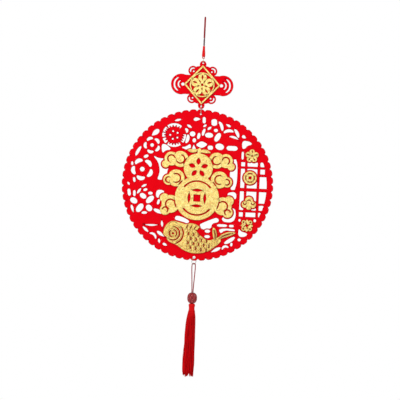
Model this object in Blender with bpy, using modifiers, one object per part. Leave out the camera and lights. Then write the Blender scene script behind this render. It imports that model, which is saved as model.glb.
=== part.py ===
# Felt hanging: a knot-shaped plate, an openwork disc, a bead and a tassel on thin cords.
# Everything is drawn in millimetres, x to the right and z up from the disc's centre, and
# placed in metres with the top of the hanging loop at the origin. The front faces -Y.
import math
import random

import bmesh
import bpy
import numpy as np
from mathutils import Vector
from mathutils.geometry import delaunay_2d_cdt

MM = 0.001
NAME = "knot_tassel_hanging"

# Driving sizes, in millimetres
LOOP_TOP = 335.0        # top of the hanging loop above the disc's centre
FELT = 3.0              # thickness of the red felt
GLITTER = 2.0           # thickness of the gold glitter felt
GAP = 0.3               # clearance between pieces that touch
MARGIN = 2.6            # red felt that shows round the gold
DISC_RADIUS = 150.5
SCALLOPS = 60
SCALLOP_DEPTH = 3.6
RIM_RADIUS = 137.5      # where the lattice ends at the rim
DISC_TOP_HOLE = 141.0
DISC_LOW_HOLE = -144.0
DISC_TOP_RADIUS = 1.7   # the disc's two hanging holes
DISC_LOW_RADIUS = 2.7
PLATE_Z = 199.0         # centre of the knot plate
PLATE_TOP_HOLE = 242.4
PLATE_LOW_HOLE = 156.6
PLATE_HOLE_RADIUS = 1.7
LINK_TOP = PLATE_LOW_HOLE - 0.3
LINK_LOW = DISC_TOP_HOLE + 0.5
SMALLEST_GAP = 5.0      # openings below this area, in square millimetres, stay closed
STRAIGHT = 0.17         # a point this close to its neighbours' line is left out

CORD = 1.8              # hanging cord
LOOP_CORD = 2.0         # tassel's cord
KNOT_TOP = 292.0
KNOT_TURNS = 5
KNOT_PITCH = 3.1
SLEEVE_TOP = KNOT_TOP - KNOT_TURNS * KNOT_PITCH - 0.1     # the wrapped knot sits on it
SLEEVE_LOW = 255.0
BEAD_TOP = -214.0
BEAD_LOW = -235.5
BEAD_RADIUS = 9.7
HEAD_TOP = -235.8
HEAD_LOW = -256.0
SKIRT_LOW = -378.5
GOLD_RING = {"z": 247.9, "radius": 4.9, "wire": 1.2, "turn": 90}
CLEAR_RING = {"z": DISC_LOW_HOLE - 7.3, "radius": 6.5, "wire": 1.1, "turn": 50}
LINK = {"z": (LINK_TOP + LINK_LOW) / 2, "radius": 3.0, "wire": 1.0, "turn": 90,
        "stretch": (LINK_TOP - LINK_LOW) / 2 - 3.0}
EYE = {"z": SLEEVE_LOW - 1.7, "radius": 2.0, "wire": 1.3, "turn": 0}
BEAD_BORE = 2.4

FRONT = -(FELT / 2 + GAP + GLITTER / 2)     # middle of the gold felt, forward of the red

# How full a slot's ends are and where its widest place lies
LEAF = {"full": 0.8}
OVAL = {"full": 0.4}
DROP = {"full": 0.65, "lean": 1.6}
BLOCK = {"full": 0.15}


# Drawing in the plane

def polar(x, z, radius, degrees):
    angle = math.radians(degrees)
    return (x + radius * math.cos(angle), z + radius * math.sin(angle))


def circle(x, z, radius):
    sides = 8 + round(0.6 * radius)
    return [polar(x, z, radius, 360 * i / sides) for i in range(sides)]


def sector(x, z, inner, outer, start, end):
    steps = max(2, round((end - start) / 14))
    angles = [start + (end - start) * i / steps for i in range(steps + 1)]
    return ([polar(x, z, outer, a) for a in angles]
            + [polar(x, z, inner, a) for a in reversed(angles)])


def box(x0, x1, z0, z1):
    return [(x0, z0), (x1, z0), (x1, z1), (x0, z1)]


def rounded(corners, share=0.24):
    """The outline with each corner cut off, as far as this share of its sides."""
    found = []
    for i, (x, z) in enumerate(corners):
        for nx, nz in (corners[i - 1], corners[(i + 1) % len(corners)]):
            found.append((x + (nx - x) * share, z + (nz - z) * share))
    return found


def leaf(x, z, long, wide, turn=0, bend=0, full=0.5, lean=1.0, steps=0):
    """A slot about an arc of this length whose middle is at x, z and heads towards turn."""
    steps = steps or 4 + round(abs(bend) / 50)
    curl = math.radians(bend) or 1e-6
    heading = math.radians(turn)
    left, right = [], []
    for i in range(steps + 1):
        share = (1 - math.cos(math.pi * i / steps)) / 2
        angle = curl * (share - 0.5)
        along = long / curl * math.sin(angle)
        aside = long / curl * (1 - math.cos(angle))
        px = x + along * math.cos(heading) - aside * math.sin(heading)
        pz = z + along * math.sin(heading) + aside * math.cos(heading)
        half = wide / 2 * max(0.0, math.sin(math.pi * share ** lean)) ** full
        sx, sz = -math.sin(heading + angle) * half, math.cos(heading + angle) * half
        left.append((px + sx, pz + sz))
        right.append((px - sx, pz - sz))
    return right + left[-2:0:-1]


def curl(x, z, radius, wide, start, sweep):
    """A slot of even width along an arc about x, z."""
    middle = polar(x, z, radius, start + sweep / 2)
    return leaf(*middle, math.radians(sweep) * radius, wide, start + sweep / 2 + 90, sweep,
                full=0.2, steps=max(4, round(sweep / 26)))


def slot(x, z, long, wide, turn=0):
    """A straight slot with cut corners."""
    heading = math.radians(turn)
    cx, cz = math.cos(heading), math.sin(heading)
    end, side, cut = long / 2, wide / 2, wide * 0.3
    corners = [(end, side - cut), (end - cut, side), (cut - end, side), (-end, side - cut),
               (-end, cut - side), (cut - end, -side), (end - cut, -side), (end, cut - side)]
    return [(x + a * cx - b * cz, z + a * cz + b * cx) for a, b in corners]


def turned(points, x, z, degrees):
    angle = math.radians(degrees)
    c, s = math.cos(angle), math.sin(angle)
    return [(x + (px - x) * c - (pz - z) * s, z + (px - x) * s + (pz - z) * c) for px, pz in points]


def mirrored(points):
    return [(-x, z) for x, z in points]


# Layers: each outline either keeps or cuts the felt inside it, and later ones win

def keep(outline):
    return (True, outline)


def cut(outline):
    return (False, outline)


def inside(points, outline):
    px, pz = points[:, 0], points[:, 1]
    found = np.zeros(len(points), bool)
    for (ax, az), (bx, bz) in zip(outline, outline[1:] + outline[:1]):
        if az != bz:
            crosses = (az > pz) != (bz > pz)
            found ^= crosses & (px < (bx - ax) * (pz - az) / (bz - az) + ax)
    return found


def triangulate(outlines):
    points, edges = [], []
    for outline in outlines:
        first, count = len(points), len(outline)
        points += [Vector(p) for p in outline]
        edges += [(first + i, first + (i + 1) % count) for i in range(count)]
    verts, _, faces, *_ = delaunay_2d_cdt(points, edges, [], 0, 1e-4)
    flat = np.array([v[:] for v in verts])
    faces = np.array(faces)
    return flat, faces, flat[faces].mean(axis=1)


def area(loop):
    return sum(ax * bz - bx * az for (ax, az), (bx, bz) in zip(loop, loop[1:] + loop[:1])) / 2


def straightened(loop):
    """The loop without the points that hardly bend it."""
    kept = list(loop)
    i = 0
    while i < len(kept) and len(kept) > 3:
        (ax, az), (px, pz), (bx, bz) = kept[i - 1], kept[i], kept[(i + 1) % len(kept)]
        span = math.hypot(bx - ax, bz - az)
        off = abs((bx - ax) * (pz - az) - (bz - az) * (px - ax)) / max(span, 1e-6)
        if off < STRAIGHT or math.hypot(px - ax, pz - az) < 2 * STRAIGHT:
            kept.pop(i)
        else:
            i += 1
    return kept


def rims(layers):
    """The outer rim and the openings' rims of the felt that the layers leave."""
    flat, faces, middles = triangulate([outline for _, outline in layers])
    kept = np.zeros(len(faces), bool)
    for keeps, outline in layers:
        kept[inside(middles, outline)] = keeps
    sides = {(a, b) for face in faces[kept].tolist() for a, b in zip(face, face[1:] + face[:1])}
    follow = {a: b for a, b in sides if (b, a) not in sides}
    loops = []
    while follow:
        start, at = next(iter(follow.items()))
        loop = [start]
        del follow[start]
        while at != start:
            loop.append(at)
            at = follow.pop(at)
        loops.append(straightened([tuple(flat[i]) for i in loop]))
    outer = max(loops, key=area)
    return [outer] + [loop for loop in loops if area(loop) < -SMALLEST_GAP]


# Motifs

def blossom(x, z, size, turn, petals=5):
    """A five-petalled blossom with a crescent in each petal and a round hole in its middle."""
    layers = []
    for i in range(petals):
        angle = turn + 360 * i / petals
        layers.append(keep(circle(*polar(x, z, 0.62 * size, angle), 0.375 * size)))
    layers.append(keep(circle(x, z, 0.5 * size)))
    for i in range(petals):
        angle = turn + 360 * i / petals
        middle = polar(x, z, 0.64 * size, angle)
        layers.append(cut(leaf(*middle, 0.62 * size, 0.27 * size, angle + 90, 115, full=0.45, steps=6)))
    return layers + [cut(circle(x, z, 0.16 * size))]


def aster(x, z, inner, outer):
    """A many-petalled flower: a solid disc with toothed slots round it and small holes in it."""
    layers = [keep(circle(x, z, outer + 1))]
    slots = ((52, 128), (137, 164), (171, 190), (200, 224), (236, 306), (322, 366))
    for start, end in slots:
        layers.append(cut(sector(x, z, inner, outer, start, end)))
        teeth = max(1, round((end - start) / 17))
        for i in range(teeth):
            angle = start + (end - start) * (i + 0.5) / teeth
            layers.append(keep(leaf(*polar(x, z, inner + 0.5, angle), 5.4, 3.4, angle, full=0.7)))
    for i in range(5):
        layers.append(cut(circle(*polar(x, z, 0.46 * inner, 36 + 72 * i), 1.9)))
    return layers


def square_coin(x, z, radius):
    """The openings of an old round coin with a square hole."""
    layers = [cut(box(x - 0.2 * radius, x + 0.2 * radius, z - 0.2 * radius, z + 0.2 * radius))]
    for i in range(4):
        middle = polar(x, z, 0.46 * radius, 90 * i)
        layers.append(cut(leaf(*middle, 0.62 * radius, 0.17 * radius, 90 * i + 90, 0, full=0.8)))
    for start in (40, 220):
        layers.append(cut(sector(x, z, 0.95 * radius, 1.03 * radius, start, start + 100)))
    return layers


# Lobes of the middle figure: a double gourd among clouds, one side of the clouds
GOURD = ((0, -26, 44), (0, 34, 29))
CLOUD_LOBES = (
    # x, z, radius, where its curl starts
    (36, 50, 16, 100), (54, 50, 14, -60), (65, 39, 7.5, 0),
    (43, 12, 17, 60), (58, 8, 10.5, -120),
    (52, -40, 18, -80), (64, -29, 9.5, -40), (62, -52, 10.5, 0),
)
# Where a slit parts the clouds from the gourd's two bulbs, in degrees
GOURD_SLITS = (((-27, -5), (33, 48)), ((10, 38),))


def centre(grow=0.0, cuts=True):
    layers = [keep(circle(x, z, r + grow)) for x, z, r in GOURD]
    layers.append(keep(leaf(0.5, 66, 15 + grow, 7.5 + 2 * grow, 86, -20, full=0.25)))
    for side in (1, -1):
        layers.append(keep(leaf(side * 12, 67.5, 23 + 2 * grow, 7.5 + 2 * grow, -side * 4,
                                -side * 45, full=0.7)))
        layers += [keep(circle(side * x, z, r + grow)) for x, z, r, _ in CLOUD_LOBES]
    if not cuts:
        return layers
    for x, z, r, start in CLOUD_LOBES:
        if r > 10:
            right = curl(x, z, 0.52 * r, 2.5, start, 235)
            layers += [cut(right), cut(mirrored(right))]
    for (x, z, r), spans in zip(GOURD, GOURD_SLITS):
        for start, end in spans:
            right = curl(x, z, r + 0.8, 2.3, start, end - start)
            layers += [cut(right), cut(mirrored(right))]
    layers += square_coin(0, -26, 34)
    for i in range(5):
        middle = polar(0, 34, 13, 90 + 72 * i)
        layers.append(cut(leaf(*middle, 13, 8.5, 90 + 72 * i, 0, full=0.7)))
    return layers


CARP_BODY = (
    # x, z of the body's middle line, and half its depth there
    (-63, -97, 4), (-58, -94.5, 13), (-50, -95, 20.5), (-38, -97, 23), (-22, -104, 26),
    (-5, -110, 25.5), (12, -118, 17), (27, -119.5, 11), (40, -113, 8.5), (51, -104.5, 6),
)
CARP_EYE = (-44, -98)


def carp(grow=0.0, cuts=True):
    """A leaping carp, its head to the left and its forked tail up to the right."""
    upper = [(x, z + half + grow) for x, z, half in CARP_BODY]
    lower = [(x, z - half - grow) for x, z, half in reversed(CARP_BODY)]
    layers = [
        keep([(CARP_BODY[0][0] - grow, CARP_BODY[0][1])] + upper + lower),
        keep(leaf(61, -96.5, 40 + grow, 9 + 2 * grow, 22, -30, full=0.55)),
        keep(leaf(39, -96, 29 + grow, 9 + 2 * grow, 100, 25, full=0.55)),
        keep(leaf(-6, -82.5, 34 + grow, 12 + 2 * grow, -8, -35, full=0.5)),
        keep(leaf(-44, -77, 22 + grow, 8 + 2 * grow, 4, -60, full=0.5)),
    ]
    if not cuts:
        return layers
    layers += [cut(curl(*CARP_EYE, 7.4, 2.0, start, 150)) for start in (-60, 120)]
    layers.append(cut(circle(*CARP_EYE, 2.3)))
    layers.append(cut(curl(*CARP_EYE, 13.2, 2.4, -125, 215)))
    layers.append(cut(curl(*CARP_EYE, 20.5, 2.6, -78, 120)))
    layers.append(cut(leaf(-58.5, -106, 9, 2.4, -35, 30)))
    for row, count in enumerate((3, 4, 5, 4)):
        for i in range(count):
            x = -13 + 10.4 * i + 5.2 * (row % 2)
            z = -97.5 - 9 * row - 0.13 * (x + 10)
            layers.append(cut(leaf(x, z, 7.8, 2.2, -90, -110, full=0.6)))
    layers += [cut(leaf(-17 + 8 * i, -83.5 - 0.9 * i, 7.5, 1.9, 66 - 5 * i)) for i in range(4)]
    layers.append(cut(leaf(60, -97, 26, 2.1, 24, -28, full=0.5)))
    layers.append(cut(leaf(39.5, -97, 18, 2.1, 100, 25, full=0.5)))
    return layers


# The four small ornaments on the lattice
ORNAMENTS = (("ornament_1", "plum", 105.5, 62.5), ("ornament_2", "coin", 103.5, 19.0),
             ("ornament_3", "cloud", 103.5, -31.5), ("ornament_4", "knot", 101.5, -76.0))
ORNAMENT_HALF = 13.2


def ornament(kind, x, z, grow=0.0, cuts=True):
    half = ORNAMENT_HALF
    if kind == "plum":
        ends = [90 + 72 * i for i in range(5)]
        layers = [keep(circle(*polar(x, z, 0.58 * half, a), 0.44 * half + grow)) for a in ends]
        layers.append(keep(circle(x, z, 0.5 * half)))
        holes = [leaf(*polar(x, z, 0.64 * half, a), 5.5, 2.2, a, full=0.7) for a in ends]
        holes.append(circle(x, z, 1.7))
    elif kind == "coin":
        layers = [keep(circle(x, z, half + grow))]
        holes = [box(x - 2.8, x + 2.8, z - 2.8, z + 2.8)]
        holes += [sector(x, z, 7.6, 9.5, a - 27, a + 27) for a in (0, 90, 180, 270)]
    elif kind == "cloud":
        lobes = ((0, 5.2, 8.0), (-7.6, -2.6, 6.6), (7.6, -2.6, 6.6), (0, -8, 5.2))
        layers = [keep(circle(x + a, z + b, r + grow)) for a, b, r in lobes]
        holes = [leaf(x + a, z + b, 12, 1.9, 90 - 90 * s, 240 * s, full=0.4, steps=7)
                 for a, b, s in ((-8, -2.6, -1), (8, -2.6, 1))]
        holes.append(leaf(x, z + 6.5, 9, 2.0, 0, -120))
    else:
        layers = [keep(turned(box(x - 8.6 - grow, x + 8.6 + grow, z - 8.6 - grow, z + 8.6 + grow),
                              x, z, 45))]
        loops = [polar(x, z, 8.6, 90 * i) for i in range(4)]
        layers += [keep(circle(*end, 4.4 + grow)) for end in [polar(x, z, 8.9, 45 + 90 * i)
                                                            for i in range(4)]]
        holes = [circle(*polar(x, z, 9.4, 45 + 90 * i), 1.6) for i in range(4)]
        holes += [slot(x + 0.34 * (ex - x), z + 0.34 * (ez - z), 8.4, 1.7, 45 + 90 * (i % 2))
                  for i, (ex, ez) in enumerate(loops)]
    return layers + ([cut(h) for h in holes] if cuts else [])


# The disc

def scalloped_rim():
    points = []
    for i in range(SCALLOPS):
        for across in (-1.0, -0.55, 0.0, 0.55):
            dip = SCALLOP_DEPTH * (1 - math.sqrt(1 - across * across))
            points.append(polar(0, 0, DISC_RADIUS - dip, 90 + 360 / SCALLOPS * (i + across / 2)))
    return points


def pane(x0, x1, z0, z1):
    """A lattice opening, ended by the rim where it reaches it."""
    def reach(z):
        return min(x1, math.sqrt(RIM_RADIUS ** 2 - z * z))
    return [(x0, z0), (reach(z0), z0), (reach((z0 + z1) / 2), (z0 + z1) / 2), (reach(z1), z1), (x0, z1)]


PANES = (
    # x0, x1, z0, z1: the two inner columns run behind the ornaments, the outer one stands alone
    (85, 92.5, 41.5, 49.5), (98, 117.5, 41.5, 49.5), (123.5, 150, 41.5, 49.5),
    (85, 92.5, -1.5, 36.5), (98, 117.5, -1.5, 36.5), (123.5, 132.5, 27, 36.5),
    (123, 150, -1.5, 21.5),
    (85, 92.5, -45, -8.5), (98, 117.5, -45, -8.5), (123, 150, -31, -8.5),
    (123.5, 132.5, -45, -36), (85, 92.5, -58.5, -50), (98, 117.5, -58.5, -50),
    (123.5, 150, -58.5, -50),
)

# Wide gaps whose edges the figures, petals and bars laid over them finish
PATCHES = (
    [(-91, 55), (-80, 50), (-66, 49), (-58, 36), (-62, 22), (-62, 8), (-80, 7), (-78, 14),
     (-76, 26), (-80, 42)],
    [(-81, -14), (-68, -13), (-64, -20), (-70, -27), (-81, -29)],
    [(64, 53), (77.5, 54), (77.5, -6), (64, -6)],
    [(62, -12), (77.5, -11), (77.5, -27), (60, -20)],
    [(77.5, -40), (77.5, -70), (50, -70.5), (58, -52)],
    [(-43, -67), (-36, -62), (-14, -70), (-14, -78), (-36, -76)],
    [(14, -75), (30, -68), (40, -63), (46, -67), (44, -72), (33, -75), (30, -86), (12, -88), (8, -78)],
    [(85, 91.5), (98, 91.5), (105.5, 86), (94.5, 82), (92, 77), (85.5, 76)],
    [(85.5, -83), (91, -88), (104, -92), (99, -98.5), (86, -98.5)],
    [(-75, 78), (-66, 78), (-55, 68.5), (-66, 66), (-73, 60)],
    [(-36, 73.5), (-27, 75), (-17.5, 81.5), (-16.5, 70), (-24, 68.5)],
    [(46, -84.5), (78, -84), (77.5, -90.5), (66, -87), (57, -88.5), (50, -94)],
)

SLITS = (
    # x, z, length, width, heading, bend, kind
    (-88.5, 100, 19, 10, 42, 0, DROP), (-121, 62.5, 21, 6, 62, -15, OVAL),
    (-44.5, 127.3, 14, 4.4, 15, 0, LEAF), (-104.5, 52.5, 10, 6, 25, 0, OVAL),
    (-131.5, 37, 8, 4.4, 95, 0, OVAL), (-126, 5, 10, 5, 100, 0, OVAL),
    (-21.5, 116, 11, 5, -30, 0, LEAF), (-14.5, 101, 11, 10, 0, 0, OVAL),
    (-10.5, 88.5, 8.5, 7, 90, 0, OVAL), (-10.5, 72, 16, 7.5, -85, 0, DROP),
    (-27.5, 107, 9.5, 8.5, 90, 0, OVAL), (-23.6, 90.5, 18, 6.5, 78, 55, OVAL),
    (-2, 97.5, 12.5, 6, 80, 20, OVAL), (-7, 131, 14, 7, 190, 40, DROP),
    (7.3, 129.3, 13, 6, 93, 0, BLOCK), (9.3, 118.3, 8, 4.6, 35, 0, LEAF),
    (7, 105.5, 15, 5.5, 74, -25, OVAL), (27.5, 125.7, 13.5, 11, 95, 0, BLOCK),
    (42.5, 119.5, 20, 6, -68, -55, OVAL), (18.5, 113.7, 9.5, 5, 40, 0, LEAF),
    (31.5, 110, 8, 6.6, 0, 0, OVAL), (18.3, 100, 16, 10, 0, -50, OVAL),
    (35.5, 96.5, 19, 10, 62, 0, OVAL), (4.5, 80.5, 21, 12.5, 5, 0, LEAF),
    (22, 75.3, 10.5, 8, 0, 0, BLOCK), (40.5, 78, 17, 12.5, -10, 0, OVAL),
    (65.2, 76, 23, 9, 0, 0, BLOCK), (68, 98, 20, 4.6, -16, -40, LEAF),
    (56.5, 110.5, 21, 6, 8, -80, OVAL), (55.5, 121, 11, 5, -26, 0, DROP),
    (74, 106.5, 19, 6, -62, -40, OVAL), (88, 99.5, 9, 6.6, 150, 0, DROP),
    (87, 62.5, 16, 4.4, 90, 0, BLOCK), (86.7, -66, 5.4, 4.6, 90, 0, OVAL),
    (117, -65.5, 6, 5.4, 90, 0, OVAL), (87.8, -105, 6.4, 5.6, 0, 0, OVAL),
    (-135, -20.5, 14, 6, 100, 0, BLOCK), (-124.5, -22, 12, 5, 92, 0, BLOCK),
    (-137, -3, 7, 4.2, 125, 0, LEAF), (-115.5, -17, 13, 5, 56, 0, LEAF),
    (-106, -6, 12, 4.4, 28, 0, LEAF), (-103, -14, 8.5, 5, 20, 0, OVAL),
    (-107, -26.5, 14, 9.5, -32, 0, OVAL), (-92.7, -20.5, 9, 6, 0, -40, OVAL),
    (-125, -36.5, 15, 11, -28, 0, OVAL), (-93, -33, 19, 10.5, 45, 0, OVAL),
    (-112.5, -50.5, 20, 11.5, 55, 0, OVAL), (-94, -50, 14, 11.5, -45, 0, OVAL),
    (-103, -59.5, 11, 5, 5, -30, OVAL), (-127, -53, 16, 5.4, 108, 0, DROP),
    (-74, -56.3, 23, 7.4, 158, 0, DROP), (-76, -37, 11, 5, 75, 0, OVAL),
    (-88, -83.7, 25, 3.6, 1, 16, LEAF), (-99, -92.3, 16, 5.2, -42, 0, LEAF),
    (-81.5, -102, 19, 4.6, -40, -120, OVAL), (-68.5, -100.5, 18, 6.4, 145, 0, DROP),
    (-71, -114, 9, 4.6, 100, 0, LEAF), (-59, -121, 10, 5.4, 155, 0, DROP),
    (-66.8, -80, 13, 4.4, 97, 0, LEAF),
    (52.5, -78.2, 20, 5, 0, 0, BLOCK), (71, -78.3, 9.5, 4.6, 0, 0, BLOCK),
    (69, -107.5, 24, 7.4, 34, 15, OVAL), (59.5, -119.5, 17, 4.4, 20, -150, OVAL),
    (72.7, -115, 7.5, 4.4, 85, 0, OVAL), (42, -127.3, 21, 6.4, 28, 0, DROP),
    (24, -90.7, 10.5, 6.4, 0, 0, OVAL), (24, -101.5, 11, 6, 0, 0, OVAL),
)


def disc_layers():
    layers = [keep(scalloped_rim())]
    layers += [cut(rounded(patch)) for patch in PATCHES]
    layers += [cut(pane(*row)) for row in PANES]
    layers += centre(MARGIN, cuts=False)
    layers += carp(MARGIN, cuts=False)
    for _, kind, x, z in ORNAMENTS:
        layers += ornament(kind, x, z, MARGIN, cuts=False)
    layers.append(keep(circle(24, -95.5, 10.5)))
    layers += [cut(leaf(x, z, long, wide, turn, bend, **kind))
               for x, z, long, wide, turn, bend, kind in SLITS]
    layers += blossom(-93.8, 75.2, 22, 113)
    layers += blossom(-111, 26.5, 29, 118)
    layers += aster(-50.8, 97, 17.5, 23.5)
    layers.append(cut(circle(0, DISC_TOP_HOLE, DISC_TOP_RADIUS)))
    layers.append(cut(circle(0, DISC_LOW_HOLE, DISC_LOW_RADIUS)))
    return layers


# The knot plate

def plate_layers():
    """A felt plate with the outline of a classic knot: two wide lobes, four small loops, two tabs."""
    z = PLATE_Z
    layers = [keep([(-42, z), (0, z + 42), (42, z), (0, z - 42)])]
    for side in (1, -1):
        facing = 0 if side > 0 else 180
        layers.append(keep(circle(side * 41.5, z, 20.5)))
        layers.append(keep(box(min(0, side * 42), max(0, side * 42), z - 19.5, z + 19)))
        layers.append(cut(curl(side * 40.6, z, 14.8, 3.2, facing - 65, 130)))
        layers.append(cut(curl(side * 39.6, z, 7.9, 2.6, facing - 66, 132)))
        layers.append(cut(leaf(side * 38.2, z, 7.2, 6.4, 0, 0, full=0.5)))
        for up in (1, -1):
            corner = (side * 19.2, z + up * 27.6)
            outward = math.degrees(math.atan2(up, side))
            layers.append(keep(circle(*corner, 9.6)))
            layers.append(cut(curl(*corner, 5.2, 2.6, outward - 78, 156)))
            layers.append(cut(circle(corner[0] - side * 1.2, corner[1] - up * 1.2, 1.6)))
            layers.append(keep(slot(side * 8, z + up * 34, 12, 6, -side * up * 14)))
    for up in (1, -1):
        layers.append(keep(leaf(0, z + up * 40.2, 15.4, 13.5, 90, 0, full=0.42, lean=1.0)))
    layers.append(cut(circle(0, PLATE_TOP_HOLE, PLATE_HOLE_RADIUS)))
    layers.append(cut(circle(0, PLATE_LOW_HOLE, PLATE_HOLE_RADIUS)))
    return layers


def diamond_layers():
    """A gold diamond frame, a ring inside it and a blossom inside the ring."""
    z = PLATE_Z
    wide, tall, bar = 36.5, 39.2, 4.6

    def diamond(shrink):
        return [(shrink - wide, z), (0, z + shrink - tall), (wide - shrink, z), (0, z + tall - shrink)]
    layers = [keep(diamond(0)), cut(diamond(bar)), keep(circle(0, z, 24.6)), cut(circle(0, z, 22.0))]
    ends = [90 + 72 * i for i in range(5)]
    layers += [keep(circle(*polar(0, z, 14.6, a), 8.6)) for a in ends]
    layers.append(keep(circle(0, z, 11)))
    layers += [cut(leaf(*polar(0, z, 15.2, a), 8.5, 3.2, a, full=0.7)) for a in ends]
    layers += [cut(leaf(*polar(0, z, 8.3, a + 36), 5.6, 2.2, a + 36, full=0.7)) for a in ends]
    layers.append(cut(circle(0, z, 2.4)))
    return layers


# Making the solids

def place(x, y, z):
    return Vector((x, y, z - LOOP_TOP)) * MM


def material(name, colour, roughness, metallic=0.0):
    made = bpy.data.materials.new(name)
    made.use_nodes = True
    shader = made.node_tree.nodes["Principled BSDF"]
    shader.inputs["Base Color"].default_value = (*colour, 1.0)
    shader.inputs["Roughness"].default_value = roughness
    shader.inputs["Metallic"].default_value = metallic
    return made


def add(name, mesh, finish, parts):
    piece = bpy.data.objects.new(name, mesh)
    piece.data.materials.append(finish)
    parts.objects.link(piece)
    return piece


def sheet(name, layers, middle, thick, finish, parts):
    """A flat piece of felt: the triangulated outline, thickened both ways from its middle."""
    loops = rims(layers)
    flat, faces, middles = triangulate(loops)
    kept = np.zeros(len(faces), bool)
    for loop in loops:
        kept ^= inside(middles, loop)
    mesh = bpy.data.meshes.new(name)
    mesh.from_pydata([place(x, middle, z) for x, z in flat.tolist()], [], faces[kept].tolist())
    made = bmesh.new()
    made.from_mesh(mesh)
    loose = [v for v in made.verts if not v.link_faces]
    bmesh.ops.delete(made, geom=loose, context="VERTS")
    made.to_mesh(mesh)
    made.free()
    piece = add(name, mesh, finish, parts)
    solid = piece.modifiers.new("thickness", "SOLIDIFY")
    solid.thickness = thick * MM
    solid.offset = 0
    return piece


def loft(made, rings, closed=False):
    """Faces between rings of points with the same count."""
    levels = [[made.verts.new(p) for p in ring] for ring in rings]
    pairs = list(zip(levels, levels[1:])) + ([(levels[-1], levels[0])] if closed else [])
    for low, high in pairs:
        for i, corner in enumerate(low):
            after = (i + 1) % len(low)
            made.faces.new((corner, low[after], high[after], high[i]))
    return levels


def finish_mesh(name, made):
    bmesh.ops.recalc_face_normals(made, faces=made.faces)
    mesh = bpy.data.meshes.new(name)
    made.to_mesh(mesh)
    made.free()
    mesh.shade_smooth()
    return mesh


def ring_at(profile_radius, z, sides, wave=lambda angle: 1.0):
    points = []
    for i in range(sides):
        angle = 2 * math.pi * i / sides
        radius = profile_radius * wave(angle)
        points.append(place(radius * math.cos(angle), radius * math.sin(angle), z))
    return points


def turned_piece(name, profile, sides, finish, parts, bored=False, wave=lambda angle: 1.0):
    """A piece lofted down a profile of radius and height, capped, or bored through."""
    made = bmesh.new()
    levels = loft(made, [ring_at(r, z, sides, wave if r > 3 else lambda angle: 1.0)
                         for r, z in profile], closed=bored)
    if not bored:
        made.faces.new(levels[0])
        made.faces.new(levels[-1])
    return add(name, finish_mesh(name, made), finish, parts)


def torus(name, finish, parts, z, radius, wire, turn, stretch=0.0):
    """A ring of wire standing upright, turned about the vertical, stretched upward if asked."""
    bpy.ops.mesh.primitive_torus_add(major_radius=radius * MM, minor_radius=wire / 2 * MM,
                                     major_segments=18, minor_segments=6)
    piece = bpy.context.active_object
    piece.name = name
    piece.data.name = name
    for vert in piece.data.vertices:
        along, depth = vert.co.x, -vert.co.z
        height = vert.co.y + math.copysign(stretch * MM, vert.co.y)
        angle = math.radians(turn)
        vert.co = Vector((along * math.cos(angle) - depth * math.sin(angle),
                          along * math.sin(angle) + depth * math.cos(angle),
                          height)) + place(0, 0, z)
    piece.data.materials.append(finish)
    for owner in list(piece.users_collection):
        owner.objects.unlink(piece)
    parts.objects.link(piece)
    return piece


def smooth_route(points, step):
    """Points about a step apart on a smooth curve through the given ones, one at its middle."""
    fine = []
    for i in range(len(points) - 1):
        before = points[max(i - 1, 0)]
        a, b = points[i], points[i + 1]
        after = points[min(i + 2, len(points) - 1)]
        for k in range(12):
            t = k / 12
            fine.append(0.5 * ((2 * a) + (b - before) * t + (2 * before - 5 * a + 4 * b - after) * t * t
                               + (3 * a - before - 3 * b + after) * t * t * t))
    fine.append(points[-1])
    lengths = np.cumsum([0.0] + [(b - a).length for a, b in zip(fine, fine[1:])])
    spans = 2 * round(lengths[-1] / step / 2)
    found = []
    for at in np.linspace(0, lengths[-1], spans + 1):
        i = min(int(np.searchsorted(lengths, at, side="right")) - 1, len(fine) - 2)
        found.append(fine[i].lerp(fine[i + 1], (at - lengths[i]) / (lengths[i + 1] - lengths[i])))
    return found


def cord(name, route, diameter, step, finish, parts):
    curve = bpy.data.curves.new(name, "CURVE")
    curve.dimensions = "3D"
    curve.bevel_depth = diameter / 2 * MM
    curve.bevel_resolution = 2
    curve.use_fill_caps = True
    points = smooth_route([place(*p) for p in route], step * MM)
    spline = curve.splines.new("POLY")
    spline.points.add(len(points) - 1)
    for target, point in zip(spline.points, points):
        target.co = (*point, 1.0)
    return add(name, curve, finish, parts)


# Half of each loop's middle line; the other half is its turn about the upright through x = y = 0.
# The hanging loop opens in depth, so its two legs stand side by side from the front.
HANG_ROUTE = (
    (0.8, 0.75, KNOT_TOP + GAP), (0.8, 0.75, 295), (0.8, 1.3, 300), (0.8, 2.1, 306), (0.8, 2.9, 313),
    (0.8, 3.5, 320), (0.8, 3.9, 326), (0.8, 3.95, 330), (0.65, 3.0, 332.9), (0, 0, 334.0),
)
TASSEL_ROUTE = (
    (1.1, 0, HEAD_TOP + GAP), (1.1, 0, -230), (1.1, 0, -222), (1.1, 0, -214), (1.2, 0, -208),
    (1.6, 0, -200), (2.2, 0, -188), (2.9, 0, -176), (3.35, 0, -167), (3.35, 0, -161),
    (2.75, 0, -157.3), (0, 0, -155.7),
)


def looped(half):
    """The whole loop: up one leg, over the top and down the other."""
    return list(half) + [(-x, -y, z) for x, y, z in reversed(half[:-1])]


def knot_profile():
    """Turns of cord round the two legs."""
    profile = []
    for i in range(KNOT_TURNS):
        low = KNOT_TOP - KNOT_PITCH * (KNOT_TURNS - i)
        profile += [(1.0, low + 0.2), (1.55, low + 1.0), (1.55, low + 2.1), (1.0, low + 2.9)]
    return profile


def bead_profile():
    middle = (BEAD_TOP + BEAD_LOW) / 2
    half = (BEAD_TOP - BEAD_LOW) / 2
    profile = [(BEAD_BORE, BEAD_LOW), (BEAD_BORE, BEAD_TOP)]
    lip = BEAD_BORE + 0.3
    for i in range(1, 10):
        angle = math.radians(90 - 18 * i)
        profile.append((lip + (BEAD_RADIUS - lip) * math.cos(angle),
                        middle + half * math.sin(angle)))
    return profile


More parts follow.
